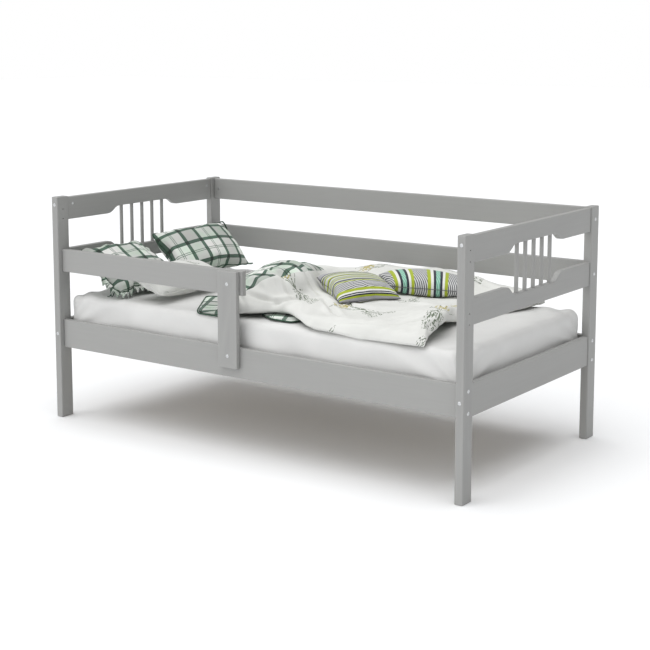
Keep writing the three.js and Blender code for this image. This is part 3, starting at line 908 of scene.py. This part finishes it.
def corner_tab(name, root, reach, width, material, edging, body):
    """A small flat cloth tab that stands out from a corner, bound round its edge."""
    root, reach = np.array(root), np.array(reach)
    length = np.linalg.norm(reach)
    forward = reach / length
    side = np.cross(forward, (0, 0, 1.0))
    side /= np.linalg.norm(side)
    up = np.cross(side, forward)
    ring = []
    for angle in np.linspace(0, TAU, 28, endpoint=False):
        t = 0.5 - 0.5 * math.cos(angle)
        ring.append(root + reach * (t * 1.1 - 0.1) + side * (width / 2 * math.sin(angle) * (1 - 0.55 * t)))
    ring = np.array(ring)
    middle = ring.mean(0)
    inner = middle + (ring - middle) * 0.75
    vertices = [*ring, *(inner + up * 0.0016), *(inner - up * 0.0016), middle + up * 0.002, middle - up * 0.002]
    count, faces = len(ring), []
    for k in range(count):
        m = (k + 1) % count
        faces += [(k, m, count + m, count + k), (m, k, 2 * count + k, 2 * count + m)]
        faces += [(count + k, count + m, 3 * count), (2 * count + m, 2 * count + k, 3 * count + 1)]
    tab = new_object(name + "_tab", vertices, faces, [material])
    layer = tab.data.uv_layers.new(name="cloth")
    for loop in tab.data.loops:
        offset = np.array(tab.data.vertices[loop.vertex_index].co) - root
        layer.data[loop.index].uv = (offset @ forward, offset @ side)
    binding = tube(name + "_tab_binding", ring, 0.0014, edging, sides=6, closed=True)
    for piece in (tab, binding):
        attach(piece, body)


def make_soft(
    node_name, size, turn, lean, tip, looks, floor, pinch, cap, wrinkle, cell, twist=0.0, cord_radius=0.002, skew=0.0
):
    """A stuffed cushion in the space of a CAD node. looks is (cloth, edging, material slot, fill); its material slot
    and fill are not used. Returns the cushion, its rim and the rim's places of its four corners: (-x, -y), (+x, -y),
    (+x, +y), (-x, +y)."""
    width, depth, thickness = size
    cloth, edging, slot, fill = looks
    columns, rows = round(width / cell), round(depth / cell)
    piece, rim = cushion_mesh(node_name + "_cover", width * 0.97, depth * 0.97, thickness * 0.76, columns, rows, pinch)
    inflate(piece, 4.0, 18, cap)
    points = coordinates(piece)
    to_rim = 1 - np.maximum(np.abs(points[:, 0]) / width, np.abs(points[:, 1]) / depth) * 2
    puckers = ripple(points, 0.042) * hill(to_rim, 0.35) + 0.6 * ripple(points, 0.12)
    push_out(piece, puckers * wrinkle)
    points = coordinates(piece)
    points[:, 2] += twist * (points[:, 0] / width + 0.5) * (points[:, 1] / depth + 0.5)
    points[:, 0] -= skew * (0.5 - points[:, 0] / width) * points[:, 1] / depth
    set_coordinates(piece, points)
    place_soft(piece, centre_of(node_name), turn, lean, tip)
    rest_on(piece, floor)
    piece.data.materials.append(cloth)
    cord = tube(node_name + "_seam", coordinates(piece)[rim], cord_radius, edging, closed=True)
    subdivide(piece)
    for made in (piece, cord):
        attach(made, node_name)
    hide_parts(node_name)
    return piece, rim, [0, columns, columns + rows, 2 * columns + rows]


def add_frill(name, piece, path, width, looks, body):
    """A gathered strip of cloth, sewn in along part of a pillow's seam, that stands out from it in folds."""
    cloth, slot = looks
    points = coordinates(piece)
    root, middle = points[path], points.mean(0)
    steps = np.linalg.norm(np.diff(root, axis=0), axis=1)
    along = np.concatenate([[0], np.cumsum(steps)])
    station = np.linspace(0, along[-1], round(along[-1] / 0.0022))
    root = np.stack([np.interp(station, along, root[:, k]) for k in range(3)], -1)
    out = (root - middle) * (1, 1, 0.4)
    out /= np.linalg.norm(out, axis=1, keepdims=True)
    folds = np.sin(station * TAU / 0.021 + 1.5 * np.sin(station * 31))
    ends = np.minimum(1, np.minimum(station, along[-1] - station) / 0.03) ** 0.5
    rows = []
    for t in np.linspace(-0.12, 1, 7):
        reach = out * (width * t * (0.85 + 0.15 * np.sin(station * 47)) * ends)[:, None]
        lift = np.stack([0 * station, 0 * station, 0.008 * folds * max(t, 0) - 0.004 * t], -1)
        rows.append(root + reach + lift)
    top = np.array(rows)
    top[:, :, 1] = np.maximum(top[:, :, 1], FRILL_LIMIT)
    top[:, :, 2] = np.maximum(top[:, :, 2], mattress_surface(top.reshape(-1, 3)).reshape(top.shape[:2]) + 0.0045)
    bottom = top - (0, 0, 0.0016)
    count, length = top.shape[:2]
    index = np.arange(count * length).reshape(count, length)
    faces = two_sheets(index, index + index.size)
    rim = [*index[0, :], *index[1:, -1], *index[-1, -2::-1], *index[-2:0:-1, 0]]
    faces.extend((b, a, a + index.size, b + index.size) for a, b in zip(rim, rim[1:] + rim[:1]))
    frill = new_object(name, np.vstack([top.reshape(-1, 3), bottom.reshape(-1, 3)]), faces, [cloth])
    layer = frill.data.uv_layers.new(name="cloth")
    for loop in frill.data.loops:
        row, column = divmod(loop.vertex_index % index.size, length)
        layer.data[loop.index].uv = (station[column] * 1.8, width * row / (count - 1))
    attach(frill, body)


# ---------------------------------------------------------------- duvet


DUVET_FRONT, DUVET_BACK = -0.397, 0.386
# Lines across the bed, as (fraction of the way from front to back, metres).
HEAD_EDGE = [
    (0.0, -0.100), (0.06, -0.115), (0.13, -0.185), (0.30, -0.285),
    (0.42, -0.315), (0.65, -0.270), (0.85, -0.190), (1.0, -0.150),
]
FOOT_EDGE = [(0.0, 0.668), (0.10, 0.655), (0.22, 0.640), (0.40, 0.600), (0.65, 0.612), (0.85, 0.650), (1.0, 0.660)]
ROLL_EDGE = [(0.0, 0.010), (0.12, 0.045), (0.28, 0.112), (0.38, 0.060), (0.60, 0.015), (0.80, -0.030), (1.0, -0.060)]
ROLL_HEIGHT = [
    (0.0, 0.010), (0.07, 0.032), (0.20, 0.082), (0.34, 0.116),
    (0.50, 0.108), (0.62, 0.072), (0.80, 0.030), (1.0, 0.012),
]


def smooth_along(v, knots):
    """A smooth value along the bed's width from (fraction, value) knots."""
    position, value = zip(*knots)
    offsets = np.linspace(-0.06, 0.06, 7)
    return np.mean([np.interp(np.clip(v + o, 0, 1), position, value) for o in offsets], axis=0)


def duvet_plan(s, v):
    """The duvet's plan: x from the head edge, y from front to back with a bay where the front edge is drawn in."""
    head, foot = smooth_along(v, HEAD_EDGE), smooth_along(v, FOOT_EDGE)
    x = head + s * (foot - head)
    bay = 0.085 * hill(x - 0.085, 0.085) * (1 - v) ** 3
    return x, DUVET_FRONT + bay + v * (DUVET_BACK - DUVET_FRONT)


def duvet_lift(x, y):
    """How far the duvet's underside stands off the mattress: over the turned corner, and where its foot edge kicks
    up."""
    over_corner = 0.010 * smoothstep(0.24, 0.16, x) * smoothstep(-0.06, -0.14, y)
    kick = 0.040 * hill(np.hypot(x - 0.64, (y + 0.20) * 0.8), 0.095)
    return over_corner + kick


def duvet_top(x, y, v):
    """Height of the upper side above the underside, before its edges are rounded down."""
    crest = smooth_along(v, ROLL_HEIGHT)
    past_crest = x - smooth_along(v, ROLL_EDGE) + 0.11
    roll = crest * np.where(past_crest < 0, hill(past_crest, 0.20), hill(past_crest, 0.088))
    main = 0.020 + 0.016 * smoothstep(0.08, 0.25, past_crest) * hill(y + 0.05, 0.28)
    back = 0.062 * smoothstep(0.16, 0.34, y) * smoothstep(-0.22, 0.06, x) * (1 - 0.5 * smoothstep(0.25, 0.55, x))
    dent = 0.012 * hill(np.hypot(x - 0.32, y - 0.10), 0.17)
    swell = 0.007 * np.sin(9 * x + 4 * y) * np.cos(11 * y - 3 * x)
    return main + roll + back + swell - dent, roll


DUVET_CREASES = [
    # start, end (plan, metres), width, depth
    ((0.130, -0.160), (0.330, -0.330), 0.020, 0.006),
    ((0.135, -0.150), (0.030, -0.330), 0.016, 0.008),
    ((0.125, -0.170), (-0.060, -0.250), 0.018, 0.008),
    ((0.120, -0.150), (-0.120, -0.120), 0.020, 0.006),
    ((0.140, -0.140), (0.340, -0.180), 0.018, 0.005),
    ((-0.020, -0.370), (-0.140, -0.300), 0.014, 0.006),
    ((0.060, -0.290), (-0.080, -0.330), 0.014, 0.007),
    ((0.080, -0.240), (-0.100, -0.200), 0.013, 0.006),
    ((0.300, -0.380), (0.560, -0.330), 0.022, 0.004),
    ((0.430, -0.330), (0.610, -0.200), 0.018, 0.008),
    ((0.500, -0.380), (0.650, -0.240), 0.014, 0.009),
    ((0.590, -0.090), (0.400, -0.060), 0.018, 0.006),
    ((0.600, -0.200), (0.440, -0.200), 0.014, 0.006),
    ((-0.250, 0.200), (-0.040, 0.280), 0.020, 0.007),
    ((0.050, 0.300), (0.320, 0.240), 0.022, 0.006),
    ((0.380, 0.330), (0.600, 0.260), 0.020, 0.006),
    ((0.060, 0.120), (0.250, 0.200), 0.020, 0.006),
]
CHECK_BAND = [
    (0.0, -0.120), (0.10, -0.160), (0.20, -0.155), (0.30, -0.140), (0.50, -0.122), (0.70, -0.110), (1.0, -0.110),
]
CHECK_WIDTH = [
    (0.0, 0.02), (0.06, 0.08), (0.12, 0.13), (0.30, 0.15), (0.50, 0.13), (0.66, 0.09), (0.78, -0.02), (1.0, -0.02),
]


def duvet_grid(columns, rows):
    """Grid parameters, with closer columns about the roll."""
    t = np.linspace(0, 1, columns + 1)
    s = t - 0.055 * np.sin(TAU * (t - 0.02))
    s = (s - s[0]) / (s[-1] - s[0])
    return np.meshgrid(s, np.linspace(0, 1, rows + 1))


def duvet_floor(points):
    return mattress_surface(points) + duvet_lift(points[:, 0], points[:, 1]) * 0.9


def add_duvet(cover):
    columns, rows = 108, 82
    s, v = duvet_grid(columns, rows)
    x, y = duvet_plan(s, v)
    height, roll = duvet_top(x, y, v)
    rim = np.clip((1 - np.abs(2 * s - 1) ** 16) * (1 - np.abs(2 * v - 1) ** 14), 0, 1) ** 0.5
    past_edge = x - smooth_along(v, ROLL_EDGE)
    overhang = 0.55 * np.maximum(roll - 0.02, 0) * smoothstep(-0.20, -0.03, past_edge) * rim
    floor = mattress_surface(np.stack([x, y], -1).reshape(-1, 2)).reshape(x.shape) + 0.003 + duvet_lift(x, y)
    index, lower, inner = shared_rim(*s.shape)
    top = np.stack([x + overhang, y, floor + 0.006 + rim * (height - 0.006)], -1)
    bottom = np.stack([x, y, floor + 0.006 * (1 - rim)], -1)
    vertices = np.vstack([top.reshape(-1, 3), bottom[inner]])
    duvet = new_object("duvet_cover", vertices, two_sheets(index, lower), [cover])
    step = np.linalg.norm(np.diff(top, axis=1), axis=2)
    cloth_u = np.concatenate([np.zeros((rows + 1, 1)), np.cumsum(step, axis=1)], axis=1)
    crest_at = np.argmin(np.abs(past_edge + 0.11), axis=1)
    cloth_u += (x - cloth_u)[np.arange(rows + 1), crest_at][:, None]
    for _ in range(6):
        cloth_u[1:-1] = (cloth_u[:-2] + 2 * cloth_u[1:-1] + cloth_u[2:]) / 4
    uv = np.stack([cloth_u, y], -1)
    set_cloth_uvs(duvet, np.vstack([uv.reshape(-1, 2), uv[inner]]))
    off_band = np.abs(past_edge - smooth_along(v, CHECK_BAND))
    band_side = smooth_along(v, CHECK_WIDTH) / 2 - 0.002 - off_band
    under_side = np.minimum(0.93 - np.abs(2 * s - 1), 0.92 - np.abs(2 * v - 1))
    check_side = duvet.data.attributes.new("check_side", "FLOAT", "POINT")
    check_side.data.foreach_set("value", np.concatenate([band_side.ravel(), under_side[inner]]))
    inflate(duvet, 2.5, 16, 0.011, grow=0.03, bending=0.8)
    points = coordinates(duvet)
    amount = ripple(points, 0.11) * 0.0026 + ripple(points, 0.05) * 0.0010
    for start, end, width, depth in DUVET_CREASES:
        amount += crease(points, start, end, 0.8 * width, 1.7 * depth)
    from_edge = np.minimum(points[:, 1] - DUVET_FRONT, DUVET_BACK - points[:, 1])
    weight = np.where(np.arange(len(points)) < s.size, 0.25 + 0.75 * smoothstep(0.0, 0.03, from_edge), 0.1)
    points = points + normals(duvet) * (amount * weight)[:, None]
    points[:, 1] = np.clip(points[:, 1], DUVET_FRONT - 0.002, DUVET_BACK + 0.002)
    set_coordinates(duvet, points)
    rest_on(duvet, duvet_floor)
    subdivide(duvet)
    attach(duvet, "duvet")
    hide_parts("duvet")
    return duvet


def add_turned_part(name, outline, turn, check, edging):
    """A part of the duvet's checked side that lies flat on the sheet, as a thin pad with a corded edge."""
    per_side, levels = 22, 9
    ring = []
    for a, b in zip(np.array(outline), np.roll(outline, -1, 0)):
        ring.extend(a + (b - a) * t for t in np.linspace(0, 1, per_side, endpoint=False))
    ring = np.array(ring)
    for _ in range(3):
        ring = (np.roll(ring, 1, 0) + ring + np.roll(ring, -1, 0)) / 3
    centre, count = ring.mean(0), len(ring)
    vertices, faces = [], []
    for side in (1, -1):
        for level in range(0 if side > 0 else 1, levels):
            t = level / levels
            flat = centre + (ring - centre) * (1 - t)
            wave = 0.0012 * np.sin(60 * flat[:, 0] + 25 * flat[:, 1]) * (side > 0) * min(1, 3 * t)
            z = mattress_surface(flat) + 0.005 + side * 0.0036 * min(1.0, (t * 5) ** 0.5) + wave
            vertices.extend(zip(flat[:, 0], flat[:, 1], z))
    vertices.append((*centre, MATTRESS_TOP + 0.0086))
    vertices.append((*centre, MATTRESS_TOP + 0.0014))
    top_tip, bottom_tip = len(vertices) - 2, len(vertices) - 1
    for i in range(count):
        j = (i + 1) % count
        for level in range(levels - 1):
            a, b = level * count, (level + 1) * count
            faces.append((a + i, a + j, b + j, b + i))
            c = 0 if level == 0 else (levels + level - 1) * count
            d = (levels + level) * count
            faces.append((c + j, c + i, d + i, d + j))
        faces.append(((levels - 1) * count + i, (levels - 1) * count + j, top_tip))
        faces.append(((2 * levels - 2) * count + j, (2 * levels - 2) * count + i, bottom_tip))
    part = new_object(name, vertices, faces, [check])
    layer = part.data.uv_layers.new(name="cloth")
    cos, sin = math.cos(math.radians(turn)), math.sin(math.radians(turn))
    for loop in part.data.loops:
        px, py, _ = part.data.vertices[loop.vertex_index].co
        layer.data[loop.index].uv = (px * cos + py * sin, py * cos - px * sin)
    edge = [(*p, z + 0.005) for p, z in zip(ring, mattress_surface(ring))]
    cord = tube(name + "_piping", edge, 0.0022, edging, closed=True)
    subdivide(part)
    for piece in (part, cord):
        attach(piece, "duvet")


def top_of(*objects):
    """A function from points to the height of the highest of the objects under them."""
    depsgraph = bpy.context.evaluated_depsgraph_get()
    trees = [BVHTree.FromObject(obj, depsgraph) for obj in objects]

    def height(points):
        found = []
        for x, y, _ in points:
            hits = [tree.ray_cast(Vector((x, y, 1.0)), Vector((0, 0, -1)))[0] for tree in trees]
            found.append(max([MATTRESS_TOP] + [hit.z for hit in hits if hit is not None]))
        return np.array(found)

    return height


# ---------------------------------------------------------------- assembly

add_camera()
add_studio()
steel_finish = dress_frame()
add_fasteners(steel_finish)
sheet_finish = sheet_material()
add_mattress(sheet_finish, plaid_material("ticking", 0.05))
plaid_rear = plaid_material("plaid_cotton_rear", 0.155, (0.63, 0.0))
plaid_front = plaid_material("plaid_cotton_front", 0.150, (0.2, 0.55))
plaid = plaid_material("plaid_cotton", 0.150, (0.45, 0.1))
binding = binding_material()
rear, rear_rim, rear_corners = make_soft(
    "pillow_plaid_rear", (0.378, 0.236, 0.104), 84, 42, 2, (plaid_rear, binding, "plaid", 0.7), mattress_surface,
    pinch=0.05, cap=0.016, wrinkle=0.0022, cell=0.008, twist=0.006,
)
front, front_rim, front_corners = make_soft(
    "pillow_plaid_front", (0.335, 0.250, 0.095), 90, 34, 0, (plaid_front, binding, "plaid", 0.6), mattress_surface,
    pinch=0.05, cap=0.016, wrinkle=0.0050, cell=0.007,
)
floral = floral_material("floral_cotton", 0.15)
make_soft(
    "pillow_floral", (0.400, 0.185, 0.080), 90, 20, 0, (floral, floral, "duvet_floral", 0.5), mattress_surface,
    pinch=0.06, cap=0.016, wrinkle=0.0026, cell=0.008,
)
rear_seam, front_seam = coordinates(rear)[rear_rim], coordinates(front)[front_rim]
corner_ties(
    "pillow_plaid_rear", rear_seam[rear_corners[2]], (0.75, 0.35), 4, 0.035, binding, "pillow_plaid_rear"
)
corner_tab(
    "pillow_plaid_rear", rear_seam[rear_corners[1]], (0.008, 0.018, 0.001), 0.034, plaid_rear, binding,
    "pillow_plaid_rear",
)
corner_ties(
    "pillow_plaid_front", front_seam[front_corners[0]], (-0.9, -0.1), 3, 0.060, binding, "pillow_plaid_front"
)
frill_path = np.roll(front_rim, 16)[: 16 + front_corners[1]]
add_frill("pillow_plaid_front_frill", front, frill_path, 0.034, (plaid_front, "plaid"), "pillow_plaid_front")
duvet = add_duvet(duvet_material(0.28, 0.150, (0.45, 0.1)))
turned_corner = [(-0.358, -0.168), (-0.212, -0.388), (-0.110, -0.388), (-0.070, -0.300), (-0.180, -0.100)]
add_turned_part("duvet_turned_corner", turned_corner, 28, plaid, binding)
turned_edge = [(0.000, -0.310), (0.070, -0.350), (0.150, -0.354), (0.180, -0.250), (0.020, -0.220)]
add_turned_part("duvet_turned_edge", turned_edge, 28, plaid, binding)
square_bands = [
    ("lime", 5), ("dark", 5), ("white", 2), ("dark", 5), ("white", 8), ("lime", 12), ("pin", 42), ("lime", 5),
    ("grey", 4), ("dark", 6), ("pale", 7), ("lime", 5), ("grey", 9), ("lime", 4), ("pale", 8), ("dark", 4),
    ("lime", 6), ("pale", 12), ("lime", 6), ("grey", 9), ("dark", 4), ("lime", 5), ("pale", 6), ("dark", 5),
    ("grey", 31),
]
stripes_square = stripes_material("stripes_square", 1, 0.215, square_bands, 80, wobble=2.2)
oblong_bands = [
    ("pin", 50), ("lime", 13), ("white", 10), ("dark", 9), ("mint", 15), ("dark", 9), ("white", 9), ("lime", 12),
]
stripes_oblong = stripes_material("stripes_oblong", 0, 0.127, oblong_bands, -22, start=10.36)
seam = seam_material()
make_soft(
    "cushion_square", (0.238, 0.234, 0.106), 57, 14, 0, (stripes_square, seam, "stripes", 0.8), top_of(duvet),
    pinch=0.06, cap=0.016, wrinkle=0.0014, cell=0.0065, twist=-0.016, cord_radius=0.0009,
)
make_soft(
    "cushion_oblong", (0.304, 0.168, 0.114), 22, 4, -2, (stripes_oblong, seam, "stripes", 0.85), top_of(duvet),
    pinch=0.03, cap=0.014, wrinkle=0.0014, cell=0.0065, cord_radius=0.0010, skew=0.08,
)
